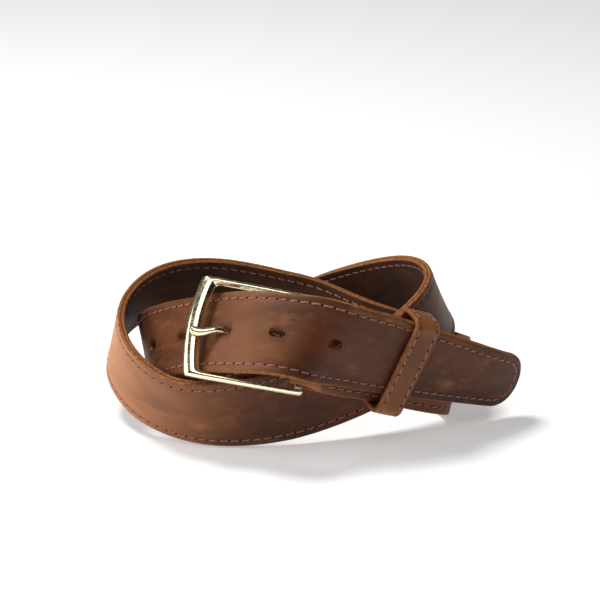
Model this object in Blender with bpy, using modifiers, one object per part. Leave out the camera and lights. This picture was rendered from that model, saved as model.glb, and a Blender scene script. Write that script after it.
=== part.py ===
"""Leather belt, buckled on its middle hole and coiled on its edge. Metres, +Z up."""

import math

import bmesh
import bpy
import numpy as np
from mathutils import Matrix, Vector

# ---- driving sizes, in millimetres ---------------------------------------------------
MM = 0.001
STRAP_WIDTH = 37.5
LAYER_THICKNESS = 1.6
GLUE_LINE = 0.3            # between the face leather and the lining
STATION_STEP = 9.0         # length between the strap's cross sections
STITCH_INSET = 3.5         # stitch row to the strap's edge
THREAD_RADIUS = 0.2
THREAD_LIFT = 0.45         # thread's centre above the leather
HOLE_LENGTH = 7.5
HOLE_WIDTH = 4.2
HOLE_PITCH = 25.4
HOLE_STEPS = (-2, -1, 0, 1, 2)   # the prong sits in hole 0
PRONG_HOLE_TO_TIP = 157.8
TAPER_LENGTH = 84.0
TIP_HALF_WIDTH = 13.6
TIP_CORNER = 12.0

HEEL_BAR_RADIUS = 1.9
HEEL_BAR_END_RADIUS = 1.2
HEEL_BAR_BACK = 1.5        # the heel bar's axis behind the strap's middle surface
RUNNING_GAP = 0.3
FOLD_INSIDE = 2.45         # radius of the turned end, inside
FOLD_THICKNESS = 1.2       # the turned end is skived thinner
HEEL_REACH = 4.0           # up to here the leather is square to the heel bar
FLAP_END = 36.0
FLAP_FRONT = -2.1          # height of the flap's inner side
LINING_START = 12.0
FACE_THREAD_START = 14.0
SLOT_HALF_WIDTH = 3.3
SLOT_CENTRE = 1.0
FOLD_SEAMS = {"fold_thread_near": 18.0, "fold_thread_far": 27.0}
FOLD_SEAM_HALF = 13.5

BUCKLE_LENGTH = 48.0       # heel bar's axis to the middle of the front bar
BUCKLE_OPENING = 41.0
BUCKLE_HEIGHT = 47.0
FRONT_BAR_WIDTH = 6.8
FRONT_BAR_BOW = 3.0
FRONT_BAR_CLEARANCE = 9.3  # front bar's middle plane in front of the strap's middle
FRONT_BAR_BEFORE_HOLE = 12.5
ARM_END = 2.5
PRONG_CRANK = math.radians(60)
PRONG_LOOP_THICKNESS = 1.2
PRONG_RISE = 3.9           # prong's middle to the strap's middle before and after the hole
PRONG_OVER_BAR = 3.75
PRONG_TIP_SIDE = -3.5      # prong's end above the middle of the front bar

KEEPER_AT = 45.0
KEEPER_WIDTH = 12.7
KEEPER_THICKNESS = 2.0
KEEPER_HALF_HEIGHT = 22.5
KEEPER_CORNER = 3.0
KEEPER_BUTT_GAP = 0.5
KEEPER_CLEARANCE = 0.7
KEEPER_TRAVEL = 5.0
KEEPER_THREAD_INSET = 2.0
STAPLE_HALF_SPAN = 3.2
STAPLE_RADIUS = 0.45

# Uniform cubic B-spline poles of the strap's centre line, 28 mm apart, from the heel bar
# to the tip: x, y, z, then the lean of the strap's width, x and y for each unit of height.
ROUTE = (
    (-1.0, -11.0, 56.0, -0.58, 1.34),         # heel bar
    (7.5, -10.0, 52.0, -0.18, 0.64),
    (36.5, -4.0, 42.0, 0.48, -0.06),
    (62.5, 8.0, 31.0, 0.30, -0.06),           # through the keeper
    (82.5, 26.0, 22.0, 0.14, 0.18),           # right bend, on the table
    (79.5, 54.5, 12.0, 0.62, 0.92),
    (42.5, 75.0, 21.0, 0.12, -0.26),          # back left, rising
    (14.5, 85.0, 30.0, 0.40, -0.04),
    (-2.5, 87.5, 34.5, 0.92, -0.34),
    (-29.5, 89.0, 42.0, 0.06, -0.26),         # over the inner turn
    (-64.5, 77.5, 48.0, 0.36, -0.68),
    (-80.0, 42.0, 37.0, 0.26, -0.16),         # left outer lobe
    (-73.0, 19.0, 28.0, 0.06, -0.34),
    (-62.0, 4.5, 22.0, 0.16, -0.50),          # front left, its rim under the buckle
    (-40.5, -9.5, 16.5, -0.16, -0.42),
    (-5.5, -6.5, 19.0, -0.28, -0.26),
    (19.0, 2.5, 23.5, 0.00, -0.10),           # back behind the buckle end
    (42.0, 12.0, 30.5, 0.28, 0.10),
    (61.5, 23.5, 39.5, -0.32, -0.16),         # up onto the right bend
    (76.5, 46.0, 49.0, -0.24, -0.14),
    (69.0, 78.0, 51.5, -0.70, -0.36),         # right lobe
    (38.0, 99.5, 33.5, -0.60, -0.08),
    (17.0, 106.0, 21.0, -0.84, 0.42),         # back left, low
    (-3.0, 102.0, 13.0, -0.56, 0.64),
    (-30.5, 86.0, 10.0, -0.42, 1.68),         # flat, under the rising run
    (-52.5, 68.5, 12.5, -0.34, 1.32),
    (-66.0, 46.5, 23.0, -0.34, 0.38),         # inner left turn
    (-56.0, 18.0, 42.0, 0.12, 0.88),
    (-32.0, -3.0, 54.5, 0.60, 0.60),          # behind the front bar
    (-7.5, -19.5, 61.5, -0.34, 1.20),
    (15.5, -21.0, 58.0, 0.30, 0.42),          # through the buckle, over the start
    (31.0, -13.0, 51.5, 0.82, 0.06),
    (64.5, 2.0, 37.5, 0.42, 0.04),            # keeper
    (90.5, 19.5, 24.5, 0.52, 0.02),
    (107.0, 33.0, 16.0, 0.06, -0.20),         # tip
    (126.5, 57.0, 6.5, 0.84, 0.80),
)
# Moves the coil so that the origin is under the middle of its box.
COIL_SHIFT = np.array((-14.18, -40.27, 1.26))


def spline_weights(t):
    """Weights of four neighbouring poles on a uniform cubic B-spline, and their slopes."""
    value = np.array(((1 - t) ** 3, 3 * t**3 - 6 * t**2 + 4, -3 * t**3 + 3 * t**2 + 3 * t + 1, t**3))
    slope = np.array((-((1 - t) ** 2), 3 * t**2 - 4 * t, -3 * t**2 + 2 * t + 1, t**2))
    return value / 6, slope / 2


class Strap:
    """The strap's middle surface, measured by length from the heel bar."""

    def __init__(self, poles, shift):
        self.poles = np.array(poles, float)
        self.poles[:, :3] += shift
        self.spans = len(poles) - 3
        self.params = np.linspace(0.0, self.spans, 3001)
        points = np.array([self.spline(u)[0][:3] for u in self.params])
        steps = np.linalg.norm(np.diff(points, axis=0), axis=1)
        self.arcs = np.concatenate(([0.0], np.cumsum(steps)))
        self.length = self.arcs[-1]

    def spline(self, u):
        first = min(int(u), self.spans - 1)
        value, slope = spline_weights(u - first)
        near = self.poles[first : first + 4]
        return value @ near, slope @ near

    def frame(self, s):
        """Centre, forward, up and outward directions at length s."""
        value, slope = self.spline(np.interp(s, self.arcs, self.params))
        forward = slope[:3] / np.linalg.norm(slope[:3])
        up = np.array((value[3], value[4], 1.0))
        up -= forward * (up @ forward)
        up /= np.linalg.norm(up)
        beyond = s - min(max(s, 0.0), self.length)
        return value[:3] + forward * beyond, forward, up, np.cross(forward, up)

    def point(self, s, across, out):
        centre, _, up, outward = self.frame(s)
        return centre + up * across + outward * out

    def point_at_heel(self, s, across, out):
        """The same, but square to the heel bar."""
        centre, forward, up, outward = self.frame(0.0)
        return centre + forward * s + up * across + outward * out

    def half_width(self, s):
        left = self.length - s
        half = STRAP_WIDTH / 2
        if left < TAPER_LENGTH:
            share = max(left - TIP_CORNER, 0.0) / (TAPER_LENGTH - TIP_CORNER)
            half = TIP_HALF_WIDTH + (half - TIP_HALF_WIDTH) * share
        if left < TIP_CORNER:
            half -= TIP_CORNER - math.sqrt(TIP_CORNER**2 - (TIP_CORNER - max(left, 0.0)) ** 2)
        return half


STRAP = Strap(ROUTE, COIL_SHIFT)
PRONG_HOLE = STRAP.length - PRONG_HOLE_TO_TIP
FACE_OUT = GLUE_LINE / 2 + LAYER_THICKNESS


# ---- scene helpers ----------------------------------------------------------------------
def clear_scene():
    for item in list(bpy.data.objects):
        bpy.data.objects.remove(item, do_unlink=True)


def collection(name):
    made = bpy.data.collections.new(name)
    bpy.context.scene.collection.children.link(made)
    return made


def material(name, color, roughness, metallic=0.0):
    made = bpy.data.materials.new(name)
    made.use_nodes = True
    shader = made.node_tree.nodes["Principled BSDF"]
    shader.inputs["Base Color"].default_value = (*color, 1.0)
    shader.inputs["Roughness"].default_value = roughness
    shader.inputs["Metallic"].default_value = metallic
    return made


def add_object(name, data, group, look=None):
    made = bpy.data.objects.new(name, data)
    group.objects.link(made)
    if look:
        made.data.materials.append(look)
    return made


def as_cutter(made):
    made.hide_render = True
    made.display_type = "WIRE"
    return made


def cut(target, cutter):
    boolean = target.modifiers.new(cutter.name, "BOOLEAN")
    boolean.operation = "DIFFERENCE"
    boolean.solver = "EXACT"
    boolean.object = cutter


def placed(origin, x_axis, y_axis, z_axis):
    """World matrix of a frame given in millimetres."""
    turn = Matrix((x_axis, y_axis, z_axis)).transposed().to_4x4()
    return Matrix.Translation(Vector(origin) * MM) @ turn


def mesh_from(name, points, faces):
    mesh = bpy.data.meshes.new(name)
    mesh.from_pydata([Vector(p) * MM for p in points], [], faces)
    mesh.validate()
    shape = bmesh.new()
    shape.from_mesh(mesh)
    bmesh.ops.recalc_face_normals(shape, faces=shape.faces)
    shape.to_mesh(mesh)
    shape.free()
    return mesh


def loft(name, rings):
    """A closed skin over rings of equal count, with a flat face on each end."""
    count = len(rings[0])
    points = [p for ring in rings for p in ring]
    faces = [tuple(range(count)), tuple(range(len(points) - count, len(points)))]
    for k in range(len(rings) - 1):
        for j in range(count):
            a, b = k * count + j, k * count + (j + 1) % count
            faces.append((a, b, b + count, a + count))
    return mesh_from(name, points, faces)


def wire(name, points, radius, group, look):
    """A thread or wire: a four-sided tube along points, with filled caps."""
    curve = bpy.data.curves.new(name, "CURVE")
    curve.dimensions = "3D"
    curve.bevel_depth = radius * MM
    curve.bevel_resolution = 0
    curve.use_fill_caps = True
    run = curve.splines.new("POLY")
    run.points.add(len(points) - 1)
    for target, point in zip(run.points, points):
        target.co = (*(Vector(point) * MM), 1.0)
    return add_object(name, curve, group, look)


# ---- strap ------------------------------------------------------------------------------
def stations(start, end):
    """Lengths from start to end, at the strap's step, then closer round the tip."""
    close = end - np.array((TIP_CORNER, 8.5, 5.5, 3.0, 1.2, 0.3, 0.0))
    count = math.ceil((close[0] - start) / STATION_STEP)
    return list(np.linspace(start, close[0], count, endpoint=False)) + list(close)


def columns(s):
    half = STRAP.half_width(s)
    row = max(half - STITCH_INSET, 0.4 * half)
    return (-half, -row, 0.0, row, half)


def layer_mesh(name, sections):
    """A leather layer. A section is (length, height) of its inner side, then of its outer."""
    points, faces = [], []
    wide = 5
    for inner, outer in sections:
        for s, out in (inner, outer):
            place = STRAP.point_at_heel if s < HEEL_REACH else STRAP.point
            points += [place(s, across, out) for across in columns(max(s, LINING_START))]
    last = len(sections) - 1
    for k in range(last):
        a, b = 2 * wide * k, 2 * wide * (k + 1)
        for side in (0, wide):
            for c in range(side, side + wide - 1):
                faces += [(a + c, a + c + 1, b + c + 1), (a + c, b + c + 1, b + c)]
        for c in (0, wide - 1):
            faces += [(a + c, b + c, b + c + wide), (a + c, b + c + wide, a + c + wide)]
    for a in (0, 2 * wide * last):
        faces += [(a + c, a + c + 1, a + c + 1 + wide, a + c + wide) for c in range(wide - 1)]
    return mesh_from(name, points, faces)


def fold_sections():
    """The face leather's turned end: flap, then round the heel bar, then onto the strap."""
    flap_back = FLAP_FRONT - (FOLD_THICKNESS - 0.1)
    sections = [((s, FLAP_FRONT), (s, flap_back)) for s in (FLAP_END, 27.0, 18.0, 9.0)]
    inside, outside = FOLD_INSIDE, FOLD_INSIDE + FOLD_THICKNESS
    for degrees in (285, 270, 237, 204, 171, 138, 110, 90):
        turn = math.radians(degrees)
        reach, rise = math.cos(turn), math.sin(turn)
        sections.append(
            (
                (inside * reach, inside * rise - HEEL_BAR_BACK),
                (outside * reach, outside * rise - HEEL_BAR_BACK),
            )
        )
    return sections


def stadium_cutter(name, s, group):
    """An oblong punch through both layers at length s."""
    centre, forward, up, outward = STRAP.frame(s)
    shape = bmesh.new()
    bmesh.ops.create_cone(
        shape,
        cap_ends=True,
        segments=16,
        radius1=HOLE_WIDTH / 2 * MM,
        radius2=HOLE_WIDTH / 2 * MM,
        depth=12 * MM,
    )
    for vertex in shape.verts:
        vertex.co.x += math.copysign((HOLE_LENGTH - HOLE_WIDTH) / 2 * MM, vertex.co.x)
    mesh = bpy.data.meshes.new(name)
    shape.to_mesh(mesh)
    shape.free()
    punch = as_cutter(add_object(name, mesh, group))
    punch.matrix_world = placed(centre, forward, up, outward)
    return punch


def box_cutter(name, low, high, matrix, group):
    """A box between two corners of a frame."""
    shape = bmesh.new()
    size = [(b - a) * MM for a, b in zip(low, high)]
    middle = [(b + a) / 2 * MM for a, b in zip(low, high)]
    scale = Matrix.Diagonal((*size, 1.0))
    bmesh.ops.create_cube(shape, size=1.0, matrix=Matrix.Translation(middle) @ scale)
    mesh = bpy.data.meshes.new(name)
    shape.to_mesh(mesh)
    shape.free()
    cutter = as_cutter(add_object(name, mesh, group))
    cutter.matrix_world = matrix
    return cutter


def make_strap(parts, cutters, face_look, lining_look):
    inner, outer = GLUE_LINE / 2, FACE_OUT
    run = [((s, inner), (s, outer)) for s in stations(LINING_START, STRAP.length)]
    face = add_object("strap_outer", layer_mesh("strap_outer", fold_sections() + run), parts, face_look)
    back = [((s, -outer), (s, -inner)) for s in stations(LINING_START, STRAP.length)]
    lining = add_object("strap_lining", layer_mesh("strap_lining", back), parts, lining_look)
    for step in HOLE_STEPS:
        punch = stadium_cutter(f"hole_punch_{step + 2}", PRONG_HOLE + step * HOLE_PITCH, cutters)
        cut(face, punch)
        cut(lining, punch)
    slot = box_cutter(
        "prong_slot",
        (-7.0, SLOT_CENTRE - SLOT_HALF_WIDTH, -8.0),
        (5.5, SLOT_CENTRE + SLOT_HALF_WIDTH, 4.0),
        placed(*STRAP.frame(0.0)),
        cutters,
    )
    cut(face, slot)


def make_edge_thread(name, start, side, parts, look):
    """One thread: along the top edge, round the tip, and back along the bottom edge."""
    height = side * (FACE_OUT + THREAD_LIFT)
    lengths = [s for s in stations(LINING_START, STRAP.length) if s <= STRAP.length - TIP_CORNER]
    lengths = [start] + [s for s in lengths if s > start + 2.0]
    top = [STRAP.point(s, STRAP.half_width(s) - STITCH_INSET, height) for s in lengths]
    bottom = [STRAP.point(s, STITCH_INSET - STRAP.half_width(s), height) for s in lengths]
    middle = STRAP.length - TIP_CORNER
    reach = TIP_CORNER - STITCH_INSET
    corner = [math.radians(a) for a in (22, 45, 68, 90)]
    flat = TIP_HALF_WIDTH - TIP_CORNER
    turn = [(middle + reach * math.sin(a), flat + reach * math.cos(a)) for a in corner]
    round_top = [STRAP.point(s, across, height) for s, across in turn]
    round_bottom = [STRAP.point(s, -across, height) for s, across in reversed(turn)]
    return wire(name, top + round_top + round_bottom + bottom[::-1], THREAD_RADIUS, parts, look)


def make_fold_threads(parts, look):
    height = FLAP_FRONT - FOLD_THICKNESS + 0.1 - THREAD_LIFT
    for name, s in FOLD_SEAMS.items():
        reach = np.linspace(-FOLD_SEAM_HALF, FOLD_SEAM_HALF, 5)
        wire(name, [STRAP.point(s, across, height) for across in reach], THREAD_RADIUS, parts, look)


# ---- buckle -----------------------------------------------------------------------------
def buckle_axes():
    """A point on the heel bar's axis, then directions: to the front bar, down, to the viewer."""
    _, _, up, _ = STRAP.frame(0.0)
    heel = STRAP.point(0.0, 0.0, -HEEL_BAR_BACK)
    over = STRAP.point(PRONG_HOLE - FRONT_BAR_BEFORE_HOLE, 0.0, FRONT_BAR_CLEARANCE)
    ahead = over - heel
    ahead -= up * (ahead @ up)
    ahead /= np.linalg.norm(ahead)
    return heel, ahead, -up, np.cross(up, ahead)


def front_bar_x(y, side):
    """The front bar's outline at height y: side 1 is its outer edge, -1 its inner."""
    return BUCKLE_LENGTH + side * FRONT_BAR_WIDTH / 2 + FRONT_BAR_BOW * (0.35 - (2 * y / BUCKLE_HEIGHT) ** 2)


def frame_outline():
    """Outer and inner outline points of the buckle's upper half, heel end first."""
    tall, clear = BUCKLE_HEIGHT / 2, BUCKLE_OPENING / 2
    pairs = [
        ((-ARM_END, clear + 1.7), (-ARM_END, clear + 0.3)),
        ((-ARM_END + 1.2, clear + 2.4), (-ARM_END + 0.6, clear)),
        ((2.5, clear + 2.6), (2.5, clear)),
        ((24.0, clear + 2.9), (23.0, clear)),
        ((40.0, tall), (40.0, clear)),
    ]
    round_in = [(42.4, clear - 0.1), (43.6, clear - 1.1), (front_bar_x(15.0, -1), 15.0)]
    round_out = [(44.6, tall), (front_bar_x(tall - 1.2, 1), tall - 1.2), (front_bar_x(17.5, 1), 17.5)]
    pairs += list(zip(round_out, round_in))
    pairs += [((front_bar_x(y, 1), y), (front_bar_x(y, -1), y)) for y in (9.0, 0.0)]
    return pairs


def frame_ring(outer, inner):
    """The section at one place of the outline: flat back, bevelled front."""
    profile = ((0, -1.3), (0, 1.0), (0.14, 2.0), (0.55, 2.1), (0.85, 1.2), (1, 0.4), (1, -1.3), (0.8, -2.0), (0.2, -2.0))
    return [(*(np.array(outer) + share * (np.array(inner) - outer)), height) for share, height in profile]


def make_buckle(parts, cutters, look, steel_look):
    heel, ahead, down, front = buckle_axes()
    matrix = placed(heel, ahead, down, front)
    upper = frame_outline()
    lower = [((a[0], -a[1]), (b[0], -b[1])) for a, b in reversed(upper[:-1])]
    frame = add_object("buckle_frame", loft("buckle_frame", [frame_ring(*p) for p in upper + lower]), parts, look)
    frame.matrix_world = matrix
    end_bore = HEEL_BAR_END_RADIUS + RUNNING_GAP
    shape = bmesh.new()
    bmesh.ops.create_cone(
        shape,
        cap_ends=True,
        segments=16,
        radius1=end_bore * MM,
        radius2=end_bore * MM,
        depth=60 * MM,
    )
    bore_mesh = bpy.data.meshes.new("arm_bore")
    shape.to_mesh(bore_mesh)
    shape.free()
    bore = as_cutter(add_object("arm_bore", bore_mesh, cutters))
    pin_matrix = placed(heel, ahead, front, -down)
    bore.matrix_world = pin_matrix
    cut(frame, bore)
    make_heel_bar(pin_matrix, parts, steel_look)
    make_prong(matrix, parts, look)


def make_heel_bar(matrix, parts, look):
    """A turned pin, its thinner ends in the arms."""
    shoulder = BUCKLE_OPENING / 2 - RUNNING_GAP
    end = BUCKLE_OPENING / 2 + 2.3
    profile = (
        (0.0, end),
        (HEEL_BAR_END_RADIUS, end),
        (HEEL_BAR_END_RADIUS, shoulder),
        (HEEL_BAR_RADIUS, shoulder),
        (HEEL_BAR_RADIUS, -shoulder),
        (HEEL_BAR_END_RADIUS, -shoulder),
        (HEEL_BAR_END_RADIUS, -end),
        (0.0, -end),
    )
    mesh = bpy.data.meshes.new("heel_bar")
    edges = [(k, k + 1) for k in range(len(profile) - 1)]
    mesh.from_pydata([(r * MM, 0.0, z * MM) for r, z in profile], edges, [])
    bar = add_object("heel_bar", mesh, parts, look)
    bar.matrix_world = matrix
    screw = bar.modifiers.new("turned", "SCREW")
    screw.steps = 20
    screw.render_steps = 20
    screw.use_merge_vertices = True
    screw.merge_threshold = 0.00005


def prong_path(matrix):
    """Points (x, y, z), width and thickness along the prong, in the buckle's own frame."""
    inverse = matrix.inverted()
    centre, forward, _, outward = STRAP.frame(PRONG_HOLE)
    hole = np.array(inverse @ (Vector(centre) * MM)) / MM
    back = np.array(inverse.to_3x3() @ Vector(-forward))
    lift = np.array(inverse.to_3x3() @ Vector(outward))
    crank = back * math.cos(PRONG_CRANK) + lift * math.sin(PRONG_CRANK)
    reach = PRONG_RISE / math.sin(PRONG_CRANK)
    ring = HEEL_BAR_RADIUS + RUNNING_GAP + PRONG_LOOP_THICKNESS / 2
    path = []
    for degrees in (62, 90, 120, 150, 180, 210, 240, 268):
        turn = math.radians(degrees)
        path.append((ring * math.cos(turn), -SLOT_CENTRE, ring * math.sin(turn), 3.6, PRONG_LOOP_THICKNESS))
    before, after = hole - crank * reach, hole + crank * reach
    side = hole[1]
    path.append((7.0, -SLOT_CENTRE - 0.2, -ring - 0.2, 3.8, 1.7))
    path.append((before[0] - 4.0, side + 0.3, before[2] + 0.1, 3.6, 2.0))
    path.append((before[0], side, before[2], 3.0, 1.9))
    path.append((hole[0], side, hole[2], 2.7, 1.8))
    path.append((after[0], side, after[2], 3.2, 1.9))
    path.append((BUCKLE_LENGTH - 2.5, -PRONG_TIP_SIDE, PRONG_OVER_BAR, 3.8, 2.2))
    path.append((BUCKLE_LENGTH + 1.6, -PRONG_TIP_SIDE, PRONG_OVER_BAR + 0.1, 3.4, 1.9))
    path.append((BUCKLE_LENGTH + 2.4, -PRONG_TIP_SIDE, PRONG_OVER_BAR, 1.8, 1.2))
    return path


def make_prong(matrix, parts, look):
    """The tongue: a loop round the heel bar, then a shank that dips through the hole."""
    path = prong_path(matrix)
    spots = np.array([p[:3] for p in path])
    heading = np.gradient(spots, axis=0)
    rings = []
    for spot, along, (_, _, _, wide, thick) in zip(spots, heading, path):
        normal = np.array((-along[2], 0.0, along[0])) / math.hypot(along[0], along[2])
        across = np.array((0.0, 1.0, 0.0))
        ring = []
        for a, n in ((-1, -0.7), (-1, 0.2), (-0.45, 1), (0.45, 1), (1, 0.2), (1, -0.7), (0.6, -1), (-0.6, -1)):
            ring.append(spot + across * (a * wide / 2) + normal * (n * thick / 2))
        rings.append(ring)
    prong = add_object("prong", loft("prong", rings), parts, look)
    prong.matrix_world = matrix


# ---- keeper -----------------------------------------------------------------------------
def keeper_axes():
    """Middle of the keeper and its axes: along the strap, up, and to the front."""
    _, forward, up, outward = STRAP.frame(KEEPER_AT)
    low = high = None
    for s in np.arange(STRAP.length - 130, STRAP.length, 1.0):
        gap = abs((STRAP.point(s, 0, 0) - STRAP.point(KEEPER_AT, 0, 0)) @ forward)
        if low is None or gap < low:
            low, high = gap, s
    _, other_forward, other_up, _ = STRAP.frame(high)
    forward = forward + other_forward
    forward /= np.linalg.norm(forward)
    up = up + other_up
    up -= forward * (up @ forward)
    up /= np.linalg.norm(up)
    outward = np.cross(forward, up)
    middle = (STRAP.point(KEEPER_AT, 0, 0) + STRAP.point(high, 0, 0)) / 2
    return middle, forward, up, outward, high


def keeper_depths():
    """How far the two straps reach behind and in front of the keeper's middle."""
    middle, forward, up, outward, high = keeper_axes()
    reach = KEEPER_WIDTH / 2 + KEEPER_TRAVEL + 1.0
    clear = FACE_OUT + THREAD_LIFT + THREAD_RADIUS
    behind, front, top, bottom = [], [], [], []
    for start, side in ((KEEPER_AT, -1), (high, 1)):
        for s in np.linspace(start - reach, start + reach, 13):
            for across in (-STRAP_WIDTH / 2, 0.0, STRAP_WIDTH / 2):
                spot = STRAP.point(s, across, side * clear) - middle
                (behind if side < 0 else front).append(spot @ outward)
                top.append(spot @ up)
    return min(behind) - KEEPER_CLEARANCE, max(front) + KEEPER_CLEARANCE, (max(top) + min(top)) / 2


def keeper_loop(behind, front, centre, offset, gap):
    """Points (up, out) round the keeper from one side of its butt joint to the other."""
    tall = KEEPER_HALF_HEIGHT + offset
    low, high = behind - offset, front + offset
    radius = KEEPER_CORNER + offset
    points = [(gap, low)]
    for sign_y, edge, start in ((1, low, 270), (1, high, 0), (-1, high, 90), (-1, low, 180)):
        inward = 1 if edge == low else -1
        for step in range(4):
            turn = math.radians(start + 30 * step)
            points.append(
                (
                    sign_y * (tall - radius) + radius * math.cos(turn),
                    edge + inward * radius + radius * math.sin(turn),
                )
            )
    points.append((-gap, low))
    return [(y + centre, z) for y, z in points]


def make_keeper(parts, cutters, look, thread_look, steel_look):
    middle, forward, up, outward, _ = keeper_axes()
    behind, front, centre = keeper_depths()
    matrix = placed(middle, forward, up, outward)
    half = KEEPER_WIDTH / 2
    inner = keeper_loop(behind, front, centre, 0.0, KEEPER_BUTT_GAP / 2)
    outer = keeper_loop(behind, front, centre, KEEPER_THICKNESS, KEEPER_BUTT_GAP / 2)
    rings = []
    for a, b in zip(inner, outer):
        rings.append([(-half, *a), (half, *a), (half, *b), (-half, *b)])
    band = add_object("keeper_band", loft("keeper_band", rings), parts, look)
    band.matrix_world = matrix
    lifted = keeper_loop(behind, front, centre, KEEPER_THICKNESS + THREAD_LIFT, 1.5)
    for name, side in (("keeper_thread_left", -1), ("keeper_thread_right", 1)):
        row = side * (half - KEEPER_THREAD_INSET)
        thread = wire(name, [(row, y, z) for y, z in lifted], THREAD_RADIUS, parts, thread_look)
        thread.matrix_world = matrix
    crown = behind - KEEPER_THICKNESS - STAPLE_RADIUS - 0.3
    foot = behind - 0.2
    legs = (centre + STAPLE_HALF_SPAN, centre - STAPLE_HALF_SPAN)
    staple = wire(
        "keeper_staple",
        [(0, legs[0], foot), (0, legs[0], crown), (0, legs[1], crown), (0, legs[1], foot)],
        STAPLE_RADIUS,
        parts,
        steel_look,
    )
    staple.matrix_world = matrix
    for k, y in enumerate(legs):
        width = STAPLE_RADIUS + 0.35
        hole = box_cutter(
            f"staple_hole_{k}",
            (-width, y - width, behind - KEEPER_THICKNESS - 1.0),
            (width, y + width, behind + 1.0),
            matrix,
            cutters,
        )
        cut(band, hole)


def main():
    clear_scene()
    parts = collection("leather_belt")
    cutters = collection("cutters")
    face = material("face_leather", (0.16, 0.062, 0.032), 0.5)
    lining = material("lining_leather", (0.05, 0.02, 0.012), 0.65)
    thread = material("thread", (0.33, 0.12, 0.09), 0.6)
    brass = material("brass", (0.83, 0.72, 0.42), 0.15, 1.0)
    steel = material("steel", (0.6, 0.6, 0.6), 0.3, 1.0)
    make_strap(parts, cutters, face, lining)
    make_edge_thread("edge_thread_face", FACE_THREAD_START, 1, parts, thread)
    make_edge_thread("edge_thread_back", FLAP_END + 2.0, -1, parts, thread)
    make_fold_threads(parts, thread)
    make_buckle(parts, cutters, brass, steel)
    make_keeper(parts, cutters, face, thread, steel)


main()
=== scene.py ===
"""Looks of the coiled leather belt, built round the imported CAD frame."""

import math

import bpy
import numpy as np
from mathutils import Matrix, Vector


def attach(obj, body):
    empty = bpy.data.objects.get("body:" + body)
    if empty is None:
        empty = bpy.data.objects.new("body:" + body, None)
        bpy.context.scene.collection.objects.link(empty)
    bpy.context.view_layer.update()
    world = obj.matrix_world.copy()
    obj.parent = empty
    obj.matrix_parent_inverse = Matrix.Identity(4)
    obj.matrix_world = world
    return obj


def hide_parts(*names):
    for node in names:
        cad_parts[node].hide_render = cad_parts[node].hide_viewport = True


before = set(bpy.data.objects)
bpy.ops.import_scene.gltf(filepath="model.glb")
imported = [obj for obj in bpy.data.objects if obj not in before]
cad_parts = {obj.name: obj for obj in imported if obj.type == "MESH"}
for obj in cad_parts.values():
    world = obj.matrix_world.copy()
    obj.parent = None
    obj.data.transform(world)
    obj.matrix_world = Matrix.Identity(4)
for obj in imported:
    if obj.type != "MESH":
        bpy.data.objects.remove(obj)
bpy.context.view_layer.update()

# ---- sizes in millimetres, the same as in the CAD ----------------------------------------
MM = 0.001
STRAP_WIDTH = 37.5
STITCH_INSET = 3.5
HOLE_LENGTH, HOLE_WIDTH, HOLE_PITCH = 7.5, 4.2, 25.4
HOLE_STEPS = (-2, -1, 0, 1, 2)
PRONG_HOLE_TO_TIP = 157.8
TAPER_LENGTH, TIP_HALF_WIDTH, TIP_CORNER = 84.0, 13.6, 12.0
HEEL_BAR_RADIUS, HEEL_BAR_BACK = 1.9, 1.5
FOLD_INSIDE = 2.45
FLAP_END, FLAP_FRONT, LINING_START = 36.0, -2.1, 12.0
SLOT_HALF_WIDTH, SLOT_CENTRE = 3.3, 1.0
FOLD_SEAMS = {"fold_thread_near": 18.0, "fold_thread_far": 27.0}
FOLD_SEAM_HALF = 13.5
BUCKLE_LENGTH, BUCKLE_OPENING, BUCKLE_HEIGHT = 48.0, 41.0, 47.0
FRONT_BAR_WIDTH, FRONT_BAR_BOW = 6.8, 3.0
FRONT_BAR_CLEARANCE, FRONT_BAR_BEFORE_HOLE = 9.3, 12.5
ARM_END = 2.5
PRONG_CRANK = math.radians(60)
PRONG_RISE, PRONG_OVER_BAR, PRONG_TIP_SIDE = 3.9, 3.75, -3.5
PRONG_LOOP_THICKNESS, RUNNING_GAP = 1.2, 0.3
KEEPER_AT, KEEPER_WIDTH, KEEPER_THICKNESS = 45.0, 12.7, 2.0
KEEPER_HALF_HEIGHT, KEEPER_CORNER, KEEPER_BUTT_GAP = 22.5, 3.0, 0.5
KEEPER_CLEARANCE, KEEPER_TRAVEL, KEEPER_THREAD_INSET = 0.7, 5.0, 2.0
CAD_THREAD_TOP = 2.4       # the CAD strap's half thickness with its threads

# ---- sizes that only the looks have --------------------------------------------------------
FACE_HALF = 1.9            # half the strap's thickness
GLUE_HALF = 0.05
HEEL_REACH, HEEL_FREE = 2.5, 9.0    # square to the heel bar up to the first; the CAD has 4.0
STATION_STEP = 1.8
STITCH_PITCH = 4.76
STITCH_LENGTH = 4.0
THREAD_RADIUS = 0.42
NEEDLE_HOLE_RADIUS = 0.4
PUNCH_REACH = 6.0          # how far a punch goes to each side of the strap's middle
EDGE_ANGLE = math.radians(38)

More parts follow.
